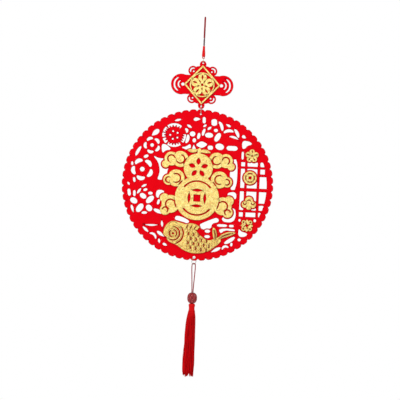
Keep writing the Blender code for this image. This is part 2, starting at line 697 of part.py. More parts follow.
# The tassel: its head's lower face carries the threads' roots

HEAD_PROFILE = ((7.2, HEAD_LOW), (6.2, -250), (5.8, -244), (6.5, -239.5), (4.8, HEAD_TOP))
SKIRT = (
    # height, spread of the roots' places, thread radius
    (HEAD_LOW, 1.0, 0.50), (-275, 1.38, 0.85), (-315, 1.58, 1.00), (-350, 1.80, 1.10),
    (SKIRT_LOW, 1.72, 1.05),
)
THREAD_PITCH = 1.56
THREAD_REACH = 6.5


def thread_places():
    places = []
    rows = math.ceil(THREAD_REACH / (THREAD_PITCH * 0.866))
    for row in range(-rows, rows + 1):
        for column in range(-rows - 2, rows + 3):
            x = THREAD_PITCH * (column + 0.5 * (row % 2))
            y = THREAD_PITCH * 0.866 * row
            if math.hypot(x, y) < THREAD_REACH:
                places.append((x, y))
    return places


def tassel(finish, parts):
    random.seed(7)
    sides = 26
    rim = [polar(0, 0, HEAD_PROFILE[0][0], 360 * i / sides) for i in range(sides)]
    roots, threads = [], []
    for x, y in thread_places():
        angle = random.uniform(0, 360)
        roots.append([polar(x, y, SKIRT[0][2], angle + 120 * k) for k in range(3)])
        threads.append((x, y, angle, random.uniform(-3.0, 2.0)))
    flat, faces, middles = triangulate([rim] + roots)
    kept = inside(middles, rim)
    for root in roots:
        kept &= ~inside(middles, root)
    made = bmesh.new()
    verts = [made.verts.new(place(x, y, HEAD_LOW)) for x, y in flat.tolist()]
    for face in faces[kept].tolist():
        made.faces.new([verts[i] for i in face])
    where = {(round(v.co.x / MM, 2), round(v.co.y / MM, 2)): v for v in verts}

    def found(x, y):
        near = min(verts, key=lambda v: (v.co.x / MM - x) ** 2 + (v.co.y / MM - y) ** 2)
        return where.get((round(x, 2), round(y, 2)), near)
    level = [found(x, y) for x, y in rim]
    for radius, z in HEAD_PROFILE[1:]:
        upper = [made.verts.new(p) for p in ring_at(radius, z, sides)]
        for i in range(sides):
            after = (i + 1) % sides
            made.faces.new((level[i], level[after], upper[after], upper[i]))
        level = upper
    made.faces.new(level)
    for (x, y, angle, longer), root in zip(threads, roots):
        level = [found(*corner) for corner in root]
        for z, spread, radius in SKIRT[1:]:
            low = z + longer if z == SKIRT_LOW else z
            lower = [made.verts.new(place(*polar(x * spread, y * spread, radius, angle + 120 * k), low))
                     for k in range(3)]
            for i in range(3):
                after = (i + 1) % 3
                made.faces.new((level[i], level[after], lower[after], lower[i]))
            level = lower
        made.faces.new(level)
    return add("tassel", finish_mesh("tassel", made), finish, parts)


def sleeve(finish, parts):
    """A tapered sleeve with the cord's eye, which carries the ring, joined under it."""
    profile = ((3.0, SLEEVE_LOW), (3.3, SLEEVE_LOW + 2), (3.2, 260), (2.9, 264.5), (2.4, 268.5),
               (2.2, SLEEVE_TOP - 1.0), (1.7, SLEEVE_TOP))
    body = turned_piece("sleeve", profile, 16, finish, parts)
    eye = torus("sleeve_eye", finish, parts, **EYE)
    union = body.modifiers.new("eye", "BOOLEAN")
    union.operation = "UNION"
    union.object = eye
    eye.hide_render = True
    eye.display_type = "WIRE"
    return body, eye


def build():
    for old in list(bpy.data.objects):
        bpy.data.objects.remove(old)
    parts = bpy.data.collections.new(NAME)
    tools = bpy.data.collections.new("cutters")
    bpy.context.scene.collection.children.link(parts)
    bpy.context.scene.collection.children.link(tools)

    red_felt = material("red_felt", (0.80, 0.01, 0.01), 0.9)
    gold_felt = material("gold_felt", (0.83, 0.62, 0.25), 0.4, 0.6)
    dark_cord = material("dark_cord", (0.25, 0.01, 0.02), 0.7)
    red_satin = material("red_satin", (0.55, 0.0, 0.01), 0.4)
    gold_metal = material("gold_metal", (0.80, 0.62, 0.30), 0.25, 1.0)
    clear = material("clear_line", (0.75, 0.76, 0.74), 0.1)
    dark_bead = material("dark_bead", (0.25, 0.01, 0.02), 0.25)

    cord("hang_cord", looped(HANG_ROUTE), CORD, 4.0, dark_cord, parts)
    turned_piece("wrap_knot", knot_profile(), 10, dark_cord, parts)
    _, eye = sleeve(red_satin, parts)
    parts.objects.unlink(eye)
    tools.objects.link(eye)
    torus("gold_ring", gold_metal, parts, **GOLD_RING)
    sheet("knot_plate", plate_layers(), 0, FELT, red_felt, parts)
    sheet("diamond_gold", diamond_layers(), FRONT, GLITTER, gold_felt, parts)
    torus("thread_link", clear, parts, **LINK)
    sheet("disc", disc_layers(), 0, FELT, red_felt, parts)
    sheet("centre_gold", centre(), FRONT, GLITTER, gold_felt, parts)
    sheet("carp_gold", carp(), FRONT, GLITTER, gold_felt, parts)
    for name, kind, x, z in ORNAMENTS:
        sheet(name, ornament(kind, x, z), FRONT, GLITTER, gold_felt, parts)
    torus("clear_ring", clear, parts, **CLEAR_RING)
    cord("tassel_cord", looped(TASSEL_ROUTE), LOOP_CORD, 3.2, dark_cord, parts)
    turned_piece("bead", bead_profile(), 24, dark_bead, parts, bored=True,
                 wave=lambda angle: 0.95 + 0.05 * math.cos(8 * angle))
    tassel(red_satin, parts)


build()
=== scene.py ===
# Looks for the felt hanging: soft cut felt, glitter felt, twisted cords, a carved bead and a
# thread tassel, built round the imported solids. Sizes are in millimetres, x to the right and z
# up from the disc's centre, until point() turns them into the frame's metres.
import math
import random

import bmesh
import bpy
import numpy as np
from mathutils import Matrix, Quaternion, Vector, noise
from mathutils.geometry import delaunay_2d_cdt
from mathutils.kdtree import KDTree


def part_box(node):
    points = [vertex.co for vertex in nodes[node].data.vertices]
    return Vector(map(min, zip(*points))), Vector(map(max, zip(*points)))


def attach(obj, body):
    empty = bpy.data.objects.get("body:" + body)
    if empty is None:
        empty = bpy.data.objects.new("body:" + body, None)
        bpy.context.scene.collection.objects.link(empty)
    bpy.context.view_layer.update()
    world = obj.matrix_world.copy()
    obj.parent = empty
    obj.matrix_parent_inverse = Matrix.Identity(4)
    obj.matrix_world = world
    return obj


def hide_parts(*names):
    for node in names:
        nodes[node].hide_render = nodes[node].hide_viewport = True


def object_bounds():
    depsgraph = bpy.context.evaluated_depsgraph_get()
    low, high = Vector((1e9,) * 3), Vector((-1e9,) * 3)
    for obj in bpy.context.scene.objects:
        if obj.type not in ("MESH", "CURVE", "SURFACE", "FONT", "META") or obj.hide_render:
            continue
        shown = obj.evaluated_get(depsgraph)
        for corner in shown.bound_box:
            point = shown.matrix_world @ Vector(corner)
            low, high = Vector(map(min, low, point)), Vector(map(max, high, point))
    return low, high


MM = 0.001
LOOP_TOP = 335.0        # top of the hanging loop above the disc's centre

FELT_STEP = 1.0         # spacing of the points along a felt piece's cut edges
EDGE_ROUND = 0.4        # how far the cut edges are rounded
GRID = 4.5              # spacing of the points inside a felt piece

KNOT_TOP = 292.0
KNOT_TURNS = 5
KNOT_LENGTH = 15.4
SLEEVE_TOP = 276.4
SLEEVE_LOW = 255.0
DISC_LOW_HOLE = -144.0
BEAD_TOP, BEAD_LOW, BEAD_RADIUS, BEAD_BORE = -214.0, -235.5, 9.7, 2.4
HEAD_TOP, HEAD_LOW, SKIRT_LOW = -235.8, -256.0, -378.5
LINK_TOP, LINK_LOW = 156.3, 141.5
HANG_CORD, TASSEL_CORD = 1.8, 2.0               # thickness of the two cords
GOLD_RING = {"z": 247.9, "radius": 4.9, "wire": 1.2}
THREAD_LINK = {"z": (LINK_TOP + LINK_LOW) / 2, "radius": 3.0, "wire": 1.0,
               "stretch": (LINK_TOP - LINK_LOW) / 2 - 3.0}
CLEAR_RING = {"z": DISC_LOW_HOLE - 7.3, "radius": 6.5, "wire": 1.1}
EYE_RADIUS, EYE_WIRE, EYE_DROP = 2.0, 0.65, 1.7  # the eye under the sleeve, its wire's radius
BINDING = (-241.8, -238.0)                      # where the tassel's head is bound
BINDING_PITCH = 0.75

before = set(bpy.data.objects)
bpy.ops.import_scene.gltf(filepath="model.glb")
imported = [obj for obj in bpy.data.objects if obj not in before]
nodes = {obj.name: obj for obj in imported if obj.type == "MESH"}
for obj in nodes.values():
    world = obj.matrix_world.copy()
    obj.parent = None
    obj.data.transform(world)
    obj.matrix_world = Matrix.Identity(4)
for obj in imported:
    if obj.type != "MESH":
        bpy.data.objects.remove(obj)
cad_low, cad_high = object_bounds()


def point(x, y, z):
    return Vector((x, y, z - LOOP_TOP)) * MM


# Camera, first

PHOTO_CENTRE = (6.4, -29.5)     # what the photo's centre looks at, from the disc's centre
PHOTO_WIDTH = 794.7
PHOTO_ROLL = 2.7                # the hanging leans this many degrees to the right in the photo
LENS, SENSOR = 120.0, 36.0


def make_camera():
    data = bpy.data.cameras.new("camera")
    data.lens = LENS
    data.sensor_width = SENSOR
    data.clip_end = 50
    camera = bpy.data.objects.new("camera", data)
    away = PHOTO_WIDTH * LENS / SENSOR
    camera.location = point(PHOTO_CENTRE[0], -away, PHOTO_CENTRE[1])
    camera.rotation_mode = "QUATERNION"
    ahead = Vector((0, 1, 0))
    roll = Quaternion(ahead, -math.radians(PHOTO_ROLL))
    camera.rotation_quaternion = roll @ ahead.to_track_quat("-Z", "Y")
    bpy.context.scene.collection.objects.link(camera)
    bpy.context.scene.camera = camera


make_camera()


# Materials

class Look:
    """A material that is built up a node at a time."""

    def __init__(self, name):
        self.made = bpy.data.materials.new(name)
        self.made.use_nodes = True
        self.tree = self.made.node_tree
        self.shader = self.tree.nodes["Principled BSDF"]
        self.place = self.node("TexCoord").outputs["Object"]

    def node(self, kind, inputs=None, **settings):
        made = self.tree.nodes.new("ShaderNode" + kind)
        for name, value in settings.items():
            setattr(made, name, value)
        for name, value in (inputs or {}).items():
            self.put(made.inputs[name], value)
        return made

    def put(self, socket, value):
        if isinstance(value, bpy.types.NodeSocket):
            self.tree.links.new(value, socket)
        else:
            socket.default_value = value

    def set(self, **inputs):
        for name, value in inputs.items():
            self.put(self.shader.inputs[name.replace("_", " ")], value)

    def noise(self, size, detail=3.0, distortion=0.0, stretch=None):
        """Noise whose patches are about this many millimetres across."""
        where = self.place
        if stretch:
            where = self.node("Mapping", {"Vector": where, "Scale": stretch}).outputs[0]
        return self.node("TexNoise", {"Vector": where, "Scale": 1 / (size * MM), "Detail": detail,
                                      "Distortion": distortion}).outputs[0]

    def math(self, operation, a, b=0.0):
        return self.node("Math", {0: a, 1: b}, operation=operation).outputs[0]

    def mix(self, factor, a, b):
        return self.node("Mix", {0: factor, 6: a, 7: b}, data_type="RGBA").outputs[2]

    def ramp(self, factor, stops):
        made = self.node("ValToRGB", {0: factor})
        elements = made.color_ramp.elements
        while len(elements) < len(stops):
            elements.new(0.5)
        for element, (at, colour) in zip(elements, stops):
            element.position = at
            element.color = (*colour, 1.0)
        return made.outputs[0]

    def rim_shade_mask(self):
        """1 on a felt piece's cut edge, falling to 0 a short way in; it places the painted edge shade.
        """
        return self.node("Attribute", attribute_name="rim_shade_mask").outputs["Fac"]

    def bump(self, height, depth, strength=1.0, under=None):
        inputs = {"Height": height, "Distance": depth * MM, "Strength": strength}
        if under:
            inputs["Normal"] = under
        return self.node("Bump", inputs).outputs[0]


def red_felt():
    look = Look("red_felt_look")
    base = look.mix(look.noise(40, 2.0), (0.72, 0.0, 0.002, 1), (0.84, 0.002, 0.008, 1))
    fibres = look.noise(0.7, 5.0, 2.5)
    base = look.mix(look.ramp(fibres, ((0.30, (0, 0, 0)), (0.62, (1, 1, 1)))),
                    (0.48, 0.0, 0.006, 1), base)
    # painted shade: the felt darkens towards its cut edges, standing partly for shade there and partly
    # for the cut's own darker colour
    edge = look.math("POWER", look.rim_shade_mask(), 0.9)
    base = look.mix(look.math("MULTIPLY", edge, 0.85), base, (0.20, 0.0, 0.010, 1))
    bump = look.bump(fibres, 0.25, 0.8)
    bump = look.bump(look.noise(6, 2.0), 0.5, 0.5, bump)
    look.set(Base_Color=base, Normal=bump, Roughness=0.95)
    look.shader.inputs["Specular IOR Level"].default_value = 0.04
    look.shader.inputs["Sheen Weight"].default_value = 0.12
    look.shader.inputs["Sheen Roughness"].default_value = 0.5
    look.shader.inputs["Sheen Tint"].default_value = (1.0, 0.10, 0.08, 1.0)
    return look.made


def gold_felt(name, tone, line):
    """Glitter felt: flakes with their own tint and tilt on a gold ground, with painted shade darkening
    the cut edges; line sets its strength.
    """
    look = Look(name)
    flake = look.node("TexVoronoi", {"Vector": look.place, "Scale": 1 / (0.75 * MM)})
    clump = look.node("TexVoronoi", {"Vector": look.place, "Scale": 1 / (2.6 * MM)})
    parts = look.node("SeparateColor", {0: flake.outputs[1]})
    wide = look.node("SeparateColor", {0: clump.outputs[1]})
    chance = look.math("ADD", look.math("MULTIPLY", parts.outputs[0], 0.62),
                       look.math("MULTIPLY", wide.outputs[0], 0.38))
    tint = look.ramp(chance, (
        (0.10, (0.24, 0.06, 0.01)), (0.24, (0.66, 0.27, 0.04)), (0.38, (0.86, 0.58, 0.12)),
        (0.55, (0.93, 0.72, 0.20)), (0.70, (0.58, 0.62, 0.10)), (0.80, (0.97, 0.80, 0.28)),
        (0.92, (1.0, 0.94, 0.56))))
    base = look.mix(0.25, tint, tone)
    # painted shade: a dark brown band along the cut edges, for the shadow round the laid-on pieces
    edge = look.math("POWER", look.rim_shade_mask(), 1.2)
    base = look.mix(look.math("MULTIPLY", edge, line), base, (0.13, 0.03, 0.004, 1))
    lean = look.node("VectorMath", {0: flake.outputs[1], 1: (0.5, 0.5, 0.5)}, operation="SUBTRACT")
    lean = look.node("VectorMath", {0: lean.outputs[0], 3: 0.55}, operation="SCALE")
    under = look.bump(flake.outputs[0], 0.12, 0.4)
    tilt = look.node("VectorMath", {0: under, 1: lean.outputs[0]}, operation="ADD")
    tilt = look.node("VectorMath", {0: tilt.outputs[0]}, operation="NORMALIZE")
    look.set(Base_Color=base, Normal=tilt.outputs[0], Metallic=0.35, Roughness=0.42)
    return look.made


def thread_look(name, light, dark, size, roughness, sheen):
    """Fine threads that run down the piece."""
    look = Look(name)
    strands = look.noise(size, 3.0, 0.0, (1.0, 1.0, 0.06))
    base = look.mix(strands, dark, light)
    look.set(Base_Color=base, Normal=look.bump(strands, 0.1, 0.5), Roughness=roughness)
    look.shader.inputs["Specular IOR Level"].default_value = 0.08
    look.shader.inputs["Sheen Weight"].default_value = sheen
    look.shader.inputs["Sheen Tint"].default_value = (1.0, 0.06, 0.05, 1.0)
    return look.made


def cord_look(name, light, dark):
    look = Look(name)
    fibres = look.noise(0.35, 4.0, 1.0)
    look.set(Base_Color=look.mix(fibres, dark, light), Normal=look.bump(fibres, 0.08, 0.5),
             Roughness=0.6)
    look.shader.inputs["Specular IOR Level"].default_value = 0.06
    look.shader.inputs["Sheen Weight"].default_value = 0.04
    look.shader.inputs["Sheen Tint"].default_value = (1.0, 0.05, 0.05, 1.0)
    return look.made


def bead_look():
    look = Look("dark_bead_look")
    # painted shade: the carving's recesses are coloured near black and its raised parts dark red
    recess_shade = look.node("Attribute", attribute_name="raised").outputs["Fac"]
    base = look.ramp(recess_shade, ((0.0, (0.02, 0.0, 0.002)), (0.5, (0.15, 0.006, 0.008)),
                            (1.0, (0.36, 0.035, 0.035))))
    base = look.mix(look.math("MULTIPLY", look.noise(3, 3.0), 0.35), base, (0.25, 0.0, 0.01, 1))
    look.set(Base_Color=base, Normal=look.bump(look.noise(0.8, 3.0), 0.05, 0.3), Roughness=0.22)
    look.shader.inputs["Specular IOR Level"].default_value = 0.25
    look.shader.inputs["Coat Weight"].default_value = 0.22
    look.shader.inputs["Coat Roughness"].default_value = 0.10
    return look.made


def metal_look():
    look = Look("gold_metal_look")
    scuffs = look.noise(1.5, 4.0, 0.5)
    look.set(Base_Color=look.mix(scuffs, (0.66, 0.55, 0.28, 1), (0.82, 0.74, 0.46, 1)),
             Roughness=look.math("ADD", look.math("MULTIPLY", scuffs, 0.25), 0.12), Metallic=1.0,
             Normal=look.bump(scuffs, 0.02, 0.4))
    return look.made


def clear_look():
    look = Look("clear_line_look")
    haze = look.noise(2.0, 2.0)
    look.set(Base_Color=look.mix(haze, (0.50, 0.47, 0.40, 1), (0.72, 0.70, 0.62, 1)),
             Normal=look.bump(haze, 0.05, 0.3), Roughness=0.18)
    look.shader.inputs["Transmission Weight"].default_value = 0.45
    look.shader.inputs["IOR"].default_value = 1.46
    return look.made


# Putting pieces in the scene

def add(name, mesh, finish, slot, *replaced):
    mesh.materials.append(finish)
    piece = bpy.data.objects.new(name, mesh)
    bpy.context.scene.collection.objects.link(piece)
    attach(piece, "root")
    if replaced:
        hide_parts(*replaced)
    return piece


def mesh_of(name, points, faces, smooth=True):
    mesh = bpy.data.meshes.new(name)
    mesh.from_pydata(points, [], faces)
    mesh.validate()
    if smooth:
        mesh.shade_smooth()
    return mesh


def loft(rings, closed_ring=True, closed_path=False, caps=False):
    """Points and faces of a surface through rings with the same count."""
    count = len(rings[0])
    points = [p for ring in rings for p in ring]
    faces = []
    levels = len(rings) if closed_path else len(rings) - 1
    for level in range(levels):
        low, high = level * count, (level + 1) % len(rings) * count
        for i in range(count if closed_ring else count - 1):
            after = (i + 1) % count
            faces.append((low + i, low + after, high + after, high + i))
    if caps:
        faces.append(tuple(reversed(range(count))))
        faces.append(tuple(range((len(rings) - 1) * count, len(rings) * count)))
    return points, faces


# Felt

def area(loop):
    return sum(ax * bz - bx * az for (ax, az), (bx, bz) in zip(loop, loop[1:] + loop[:1])) / 2


def rims_of(node):
    """The outlines of a flat node's front face, with the felt on their left."""
    mesh = nodes[node].data
    sides = set()
    for face in mesh.polygons:
        if face.normal.y < -0.9:
            corners = [(round(mesh.vertices[i].co.x / MM, 3),
                        round(mesh.vertices[i].co.z / MM + LOOP_TOP, 3)) for i in face.vertices]
            sides.update(zip(corners, corners[1:] + corners[:1]))
    follow = {a: b for a, b in sides if (b, a) not in sides}
    loops = []
    for start in sorted(follow):
        if start in follow:
            loop, at = [start], follow.pop(start)
            while at != start:
                loop.append(at)
                at = follow.pop(at)
            loops.append(loop)
    return loops


def is_sharp(turned, before, after, outer):
    """Whether a corner stays sharp when its outline is redrawn with curves."""
    if outer and turned < -50:
        return True
    return abs(turned) > 112 or (abs(turned) > 70 and min(before, after) > 5.0)


def smooth(loop, step):
    """The outline redrawn with curves between its sharp corners, with points a step apart."""
    outer = area(loop) > 0
    corners = [Vector(p) for p in loop]
    count = len(corners)
    arriving, leaving = [], []
    for i, here in enumerate(corners):
        before, after = here - corners[i - 1], corners[(i + 1) % count] - here
        turned = math.degrees(math.atan2(before.x * after.y - before.y * after.x, before.dot(after)))
        if is_sharp(turned, before.length, after.length, outer):
            arriving.append(before.normalized())
            leaving.append(after.normalized())
        else:
            both = (corners[(i + 1) % count] - corners[i - 1]).normalized()
            arriving.append(both)
            leaving.append(both)
    found = []
    for i, a in enumerate(corners):
        b = corners[(i + 1) % count]
        span = (b - a).length
        out, into = leaving[i] * span, arriving[(i + 1) % count] * span
        steps = max(1, round(span / step))
        for k in range(steps):
            t = k / steps
            found.append(tuple(a * (2 * t ** 3 - 3 * t * t + 1) + out * (t ** 3 - 2 * t * t + t)
                               + b * (3 * t * t - 2 * t ** 3) + into * (t ** 3 - t * t)))
    return found


def inside(points, outline):
    px, pz = points[:, 0], points[:, 1]
    found = np.zeros(len(points), bool)
    for (ax, az), (bx, bz) in zip(outline, outline[1:] + outline[:1]):
        if az != bz:
            crosses = (az > pz) != (bz > pz)
            found ^= crosses & (px < (bx - ax) * (pz - az) / (bz - az) + ax)
    return found


def waver(x, z):
    """How far the felt lies out of its plane here."""
    return (0.45 * noise.noise(Vector((x / 70, z / 70, 3.0)))
            + 0.12 * noise.noise(Vector((x / 14, z / 14, 9.0))))


def nearest_rim(rims):
    tree = KDTree(len(rims))
    for i, (x, z) in enumerate(rims):
        tree.insert((x, z, 0), i)
    tree.balance()
    return lambda x, z: tree.find((x, z, 0))[2]


def felt(name, node, band, finish, slot):
    """A soft sheet on a flat node's outlines: a mask for painted shade at the rims, rounded edges and a
    slight waver.
    """
    loops = [smooth(loop, FELT_STEP) for loop in rims_of(node)]
    rims = [p for loop in loops for p in loop]
    edges, first = [], 0
    for loop in loops:
        edges += [(first + i, first + (i + 1) % len(loop)) for i in range(len(loop))]
        first += len(loop)
    distance = nearest_rim(rims)
    filling = []
    for loop in loops:
        for i in range(0, len(loop), 2):
            (ax, az), (x, z), (bx, bz) = loop[i - 1], loop[i], loop[(i + 1) % len(loop)]
            span = math.hypot(bx - ax, bz - az)
            inner = (x - (bz - az) / span * band, z + (bx - ax) / span * band)
            if distance(*inner) > 0.8 * band:
                filling.append(inner)
    low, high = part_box(node)
    columns = int((high.x - low.x) / MM / GRID)
    rows = int((high.z - low.z) / MM / GRID)
    for row in range(1, rows):
        for column in range(1, columns):
            x = low.x / MM + GRID * (column + 0.5 * (row % 2))
            z = low.z / MM + LOOP_TOP + GRID * row
            if distance(x, z) > 2.2 * band:
                filling.append((x, z))
    flat, _, faces, source, *_ = delaunay_2d_cdt([Vector(p) for p in rims + filling], edges, [],
                                                 0, 1e-4)
    at = np.array([p[:] for p in flat])
    faces = np.array(faces)
    middles = at[faces].mean(axis=1)
    kept = np.zeros(len(faces), bool)
    for loop in loops:
        kept ^= inside(middles, loop)
    faces = faces[kept]
    used = np.unique(faces)
    renumber = np.zeros(len(at), int)
    renumber[used] = np.arange(len(used))
    middle = (low.y + high.y) / 2 / MM
    points = [point(at[i, 0], middle + waver(*at[i]), at[i, 1]) for i in used]
    mesh = mesh_of(name, points, renumber[faces].tolist())
    # mask for the painted shade along the felt's cut edges
    rim_shade_mask = mesh.attributes.new("rim_shade_mask", "FLOAT", "POINT")
    for new, old in enumerate(used):
        rim_shade_mask.data[new].value = float(any(i < len(rims) for i in source[old]) or not source[old])
    piece = add(name, mesh, finish, slot, node)
    solid = piece.modifiers.new("thickness", "SOLIDIFY")
    solid.thickness = high.y - low.y
    solid.offset = 0
    rounded = piece.modifiers.new("rounded", "BEVEL")
    rounded.width = EDGE_ROUND * MM
    rounded.segments = 2
    rounded.limit_method = "ANGLE"
    rounded.angle_limit = math.radians(50)
    rounded.use_clamp_overlap = False
    cut = sum(area(loop) for loop in loops) * MM * MM
    return piece, cut


# Cords

def smooth_route(points, step):
    """Points about a step apart on a smooth curve through the given ones."""
    fine = []
    for i in range(len(points) - 1):
        before = points[max(i - 1, 0)]
        a, b = points[i], points[i + 1]
        after = points[min(i + 2, len(points) - 1)]
        for k in range(12):
            t = k / 12
            fine.append(0.5 * ((2 * a) + (b - before) * t + (2 * before - 5 * a + 4 * b - after) * t * t
                               + (3 * a - before - 3 * b + after) * t * t * t))
    fine.append(points[-1])
    lengths = np.cumsum([0.0] + [(b - a).length for a, b in zip(fine, fine[1:])])
    found = []
    for at in np.linspace(0, lengths[-1], round(lengths[-1] / step) + 1):
        i = min(int(np.searchsorted(lengths, at, side="right")) - 1, len(fine) - 2)
        found.append(fine[i].lerp(fine[i + 1], (at - lengths[i]) / (lengths[i + 1] - lengths[i])))
    return found


def directions(route):
    """A tangent and two sideways directions for each point of the route."""
    ahead = [(b - a).normalized() for a, b in zip(route, route[1:])]
    tangents = ([ahead[0]] + [(a + b).normalized() for a, b in zip(ahead, ahead[1:])] + [ahead[-1]])
    side = tangents[0].orthogonal().normalized()
    found = []
    for tangent in tangents:
        side = (side - tangent * side.dot(tangent)).normalized()
        found.append((side, tangent.cross(side)))
    return found


def twisted_rings(route, radius, strands=3, pitch=4.5, sides=18):
    """Rings of a cord laid up from strands: each strand winds round once a pitch."""
    rings, along = [], 0.0
    for i, (here, (side, up)) in enumerate(zip(route, directions(route))):
        along += (here - route[i - 1]).length / MM if i else 0.0
        ring = []
        for k in range(sides):
            angle = 2 * math.pi * k / sides
            strand = abs(math.cos(strands / 2 * (angle - 2 * math.pi * along / pitch)))
            reach = radius * (0.80 + 0.22 * strand) * MM
            ring.append(here + (side * math.cos(angle) + up * math.sin(angle)) * reach)
        rings.append(ring)
    return rings


# Half of each loop's middle line; the other half is its turn about the upright
HANG_ROUTE = (
    (0.8, 0.75, 292.3), (0.8, 0.75, 295), (0.8, 1.3, 300), (0.8, 2.1, 306), (0.8, 2.9, 313),
    (0.8, 3.5, 320), (0.8, 3.9, 326), (0.8, 3.95, 330), (0.65, 3.0, 332.9), (0, 0, 334.0),
)
TASSEL_ROUTE = (
    (1.1, 0, -235.5), (1.1, 0, -230), (1.1, 0, -222), (1.1, 0, -214), (1.2, 0, -208),
    (1.6, 0, -200), (2.2, 0, -188), (2.9, 0, -176), (3.35, 0, -167), (3.35, 0, -161),
    (2.75, 0, -157.3), (0, 0, -155.7),
)


def looped(half):
    """The whole loop: up one leg, over the top and down the other."""
    return [point(*p) for p in half] + [point(-x, -y, z) for x, y, z in reversed(half[:-1])]


def make_cord(name, half, diameter, finish):
    route = smooth_route(looped(half), 0.45 * MM)
    mesh = mesh_of(name, *loft(twisted_rings(route, diameter / 2), caps=True))
    piece = add(name + "_look", mesh, finish, "dark_cord", name)
    return piece


# Small pieces

def between(rows, z):
    """The value at a height in rows of falling heights."""
    for (za, a), (zb, b) in zip(rows, rows[1:]):
        if z >= zb:
            return a + (b - a) * max(0.0, (za - z) / (za - zb))
    return rows[-1][1]


def ring_piece(name, finish, slot, z, radius, wire, turned, stretch=0.0):
    """A ring of wire standing upright, turned about the vertical, stretched upward if asked."""
    rings = []
    around, sides = 72, 14
    for i in range(around):
        angle = 2 * math.pi * i / around
        ring = []
        for k in range(sides):
            across = 2 * math.pi * k / sides
            reach = radius + wire / 2 * math.cos(across)
            along, depth = reach * math.cos(angle), wire / 2 * math.sin(across)
            height = reach * math.sin(angle)
            height += stretch * max(-1.0, min(1.0, 4 * math.sin(angle)))
            ring.append(point(along * math.cos(turned) - depth * math.sin(turned),
                              along * math.sin(turned) + depth * math.cos(turned), z + height))
        rings.append(ring)
    points, faces = loft(rings, closed_path=True)
    return add(name + "_look", mesh_of(name, points, faces), finish, slot, name)


def wrap_knot(finish):
    """Turns of cord wound tightly round the loop's two legs."""
    core, wire = 0.62, 1.0          # the winding's middle line and the cord's radius
    leg_place, leg_radius = 0.45, 0.55
    steps = KNOT_TURNS * 40
    route = []
    for i in range(steps + 1):
        angle = 2 * math.pi * KNOT_TURNS * i / steps
        height = KNOT_TOP - wire - (KNOT_LENGTH - 2 * wire) * i / steps
        route.append(point(core * math.cos(angle), core * math.sin(angle), height))
    points, faces = loft(twisted_rings(route, wire, strands=3, pitch=3.2), caps=True)
    legs = []
    for side in (1, -1):
        leg = [point(side * leg_place, 0, KNOT_TOP - KNOT_LENGTH * i / 24) for i in range(25)]
        legs.append(loft(twisted_rings(leg, leg_radius), caps=True))
    for more, more_faces in legs:
        faces += [tuple(i + len(points) for i in face) for face in more_faces]
        points += more
    return add("wrap_knot_look", mesh_of("wrap_knot", points, faces), finish, "dark_cord", "wrap_knot")


SLEEVE = (
    # height, radius
    (SLEEVE_TOP, 1.5), (275.6, 2.0), (272, 2.15), (268.5, 2.35), (264.5, 2.85), (260, 3.1), (257, 3.2),
    (255.6, 3.0), (SLEEVE_LOW, 2.5),
)


def sleeve(finish):
    """A tapered sleeve of thread wound round the cord, with the cord's small eye under it."""
    rings = []
    turns, height = 34, SLEEVE_TOP - SLEEVE_LOW
    for i in range(turns * 4 + 1):
        share = i / (turns * 4)
        z = SLEEVE_LOW + height * share
        radius = between(SLEEVE, z) + 0.16 * abs(math.sin(math.pi * turns * share))
        rings.append([point(radius * math.cos(a), radius * math.sin(a), z)
                      for a in [2 * math.pi * k / 32 for k in range(32)]])
    points, faces = loft(rings, caps=True)
    eye, eye_faces = [], []
    around, sides = 40, 10
    for i in range(around):
        angle = 2 * math.pi * i / around
        for k in range(sides):
            across = 2 * math.pi * k / sides
            reach = EYE_RADIUS + EYE_WIRE * math.cos(across)
            eye.append(point(reach * math.cos(angle), EYE_WIRE * math.sin(across),
                             SLEEVE_LOW - EYE_DROP + reach * math.sin(angle)))
            after, beyond = (k + 1) % sides, (i + 1) % around
            eye_faces.append((i * sides + k, i * sides + after, beyond * sides + after,
                              beyond * sides + k))
    faces += [tuple(i + len(points) for i in face) for face in eye_faces]
    points += eye
    return add("sleeve_look", mesh_of("sleeve", points, faces), finish, "red_satin", "sleeve")


def bead(finish):
    """A barrel-shaped bead carved with two rows of petals and a lattice between them."""
    sides, levels, petals = 168, 84, 8
    middle, half = (BEAD_TOP + BEAD_LOW) / 2, (BEAD_TOP - BEAD_LOW) / 2
    rings, raised = [], []
    for level in range(levels + 1):
        slope = math.pi * (level / levels - 0.5) * 0.985
        reach = BEAD_BORE + 0.2 + (BEAD_RADIUS - BEAD_BORE - 0.2) * math.cos(slope)
        up = math.sin(slope)
        ring = []
        for k in range(sides):
            angle = 2 * math.pi * k / sides
            lean = petals / 2 * angle
            cross = abs(math.sin(lean + 2.6 * up)) * abs(math.sin(lean - 2.6 * up))
            heart = max(0.0, 1 - 5.0 * abs(cross - 0.62))
            relief = min(1.0, 2.2 * cross ** 0.6) - 0.35 * heart
            relief *= min(1.0, 6 * (1 - abs(up)) + 0.15)
            raised.append(max(0.0, min(1.0, relief)))
            radius = reach - 0.95 + 1.1 * relief
            if abs(up) > 0.93:
                radius = reach
            ring.append(point(radius * math.cos(angle), radius * math.sin(angle), middle + half * up))
        rings.append(ring)
    for z in (BEAD_TOP - 0.6, BEAD_LOW + 0.6):
        rings.append([point(BEAD_BORE * math.cos(2 * math.pi * k / sides),
                            BEAD_BORE * math.sin(2 * math.pi * k / sides), z) for k in range(sides)])
        raised += [0.0] * sides
    points, faces = loft(rings, closed_path=True)
    mesh = mesh_of("bead", points, faces)
    # the raised mark places the bead's painted shade in the recesses
    mark = mesh.attributes.new("raised", "FLOAT", "POINT")
    for i, value in enumerate(raised):
        mark.data[i].value = value
    return add("bead_look", mesh, finish, "dark_bead", "bead")


# Tassel

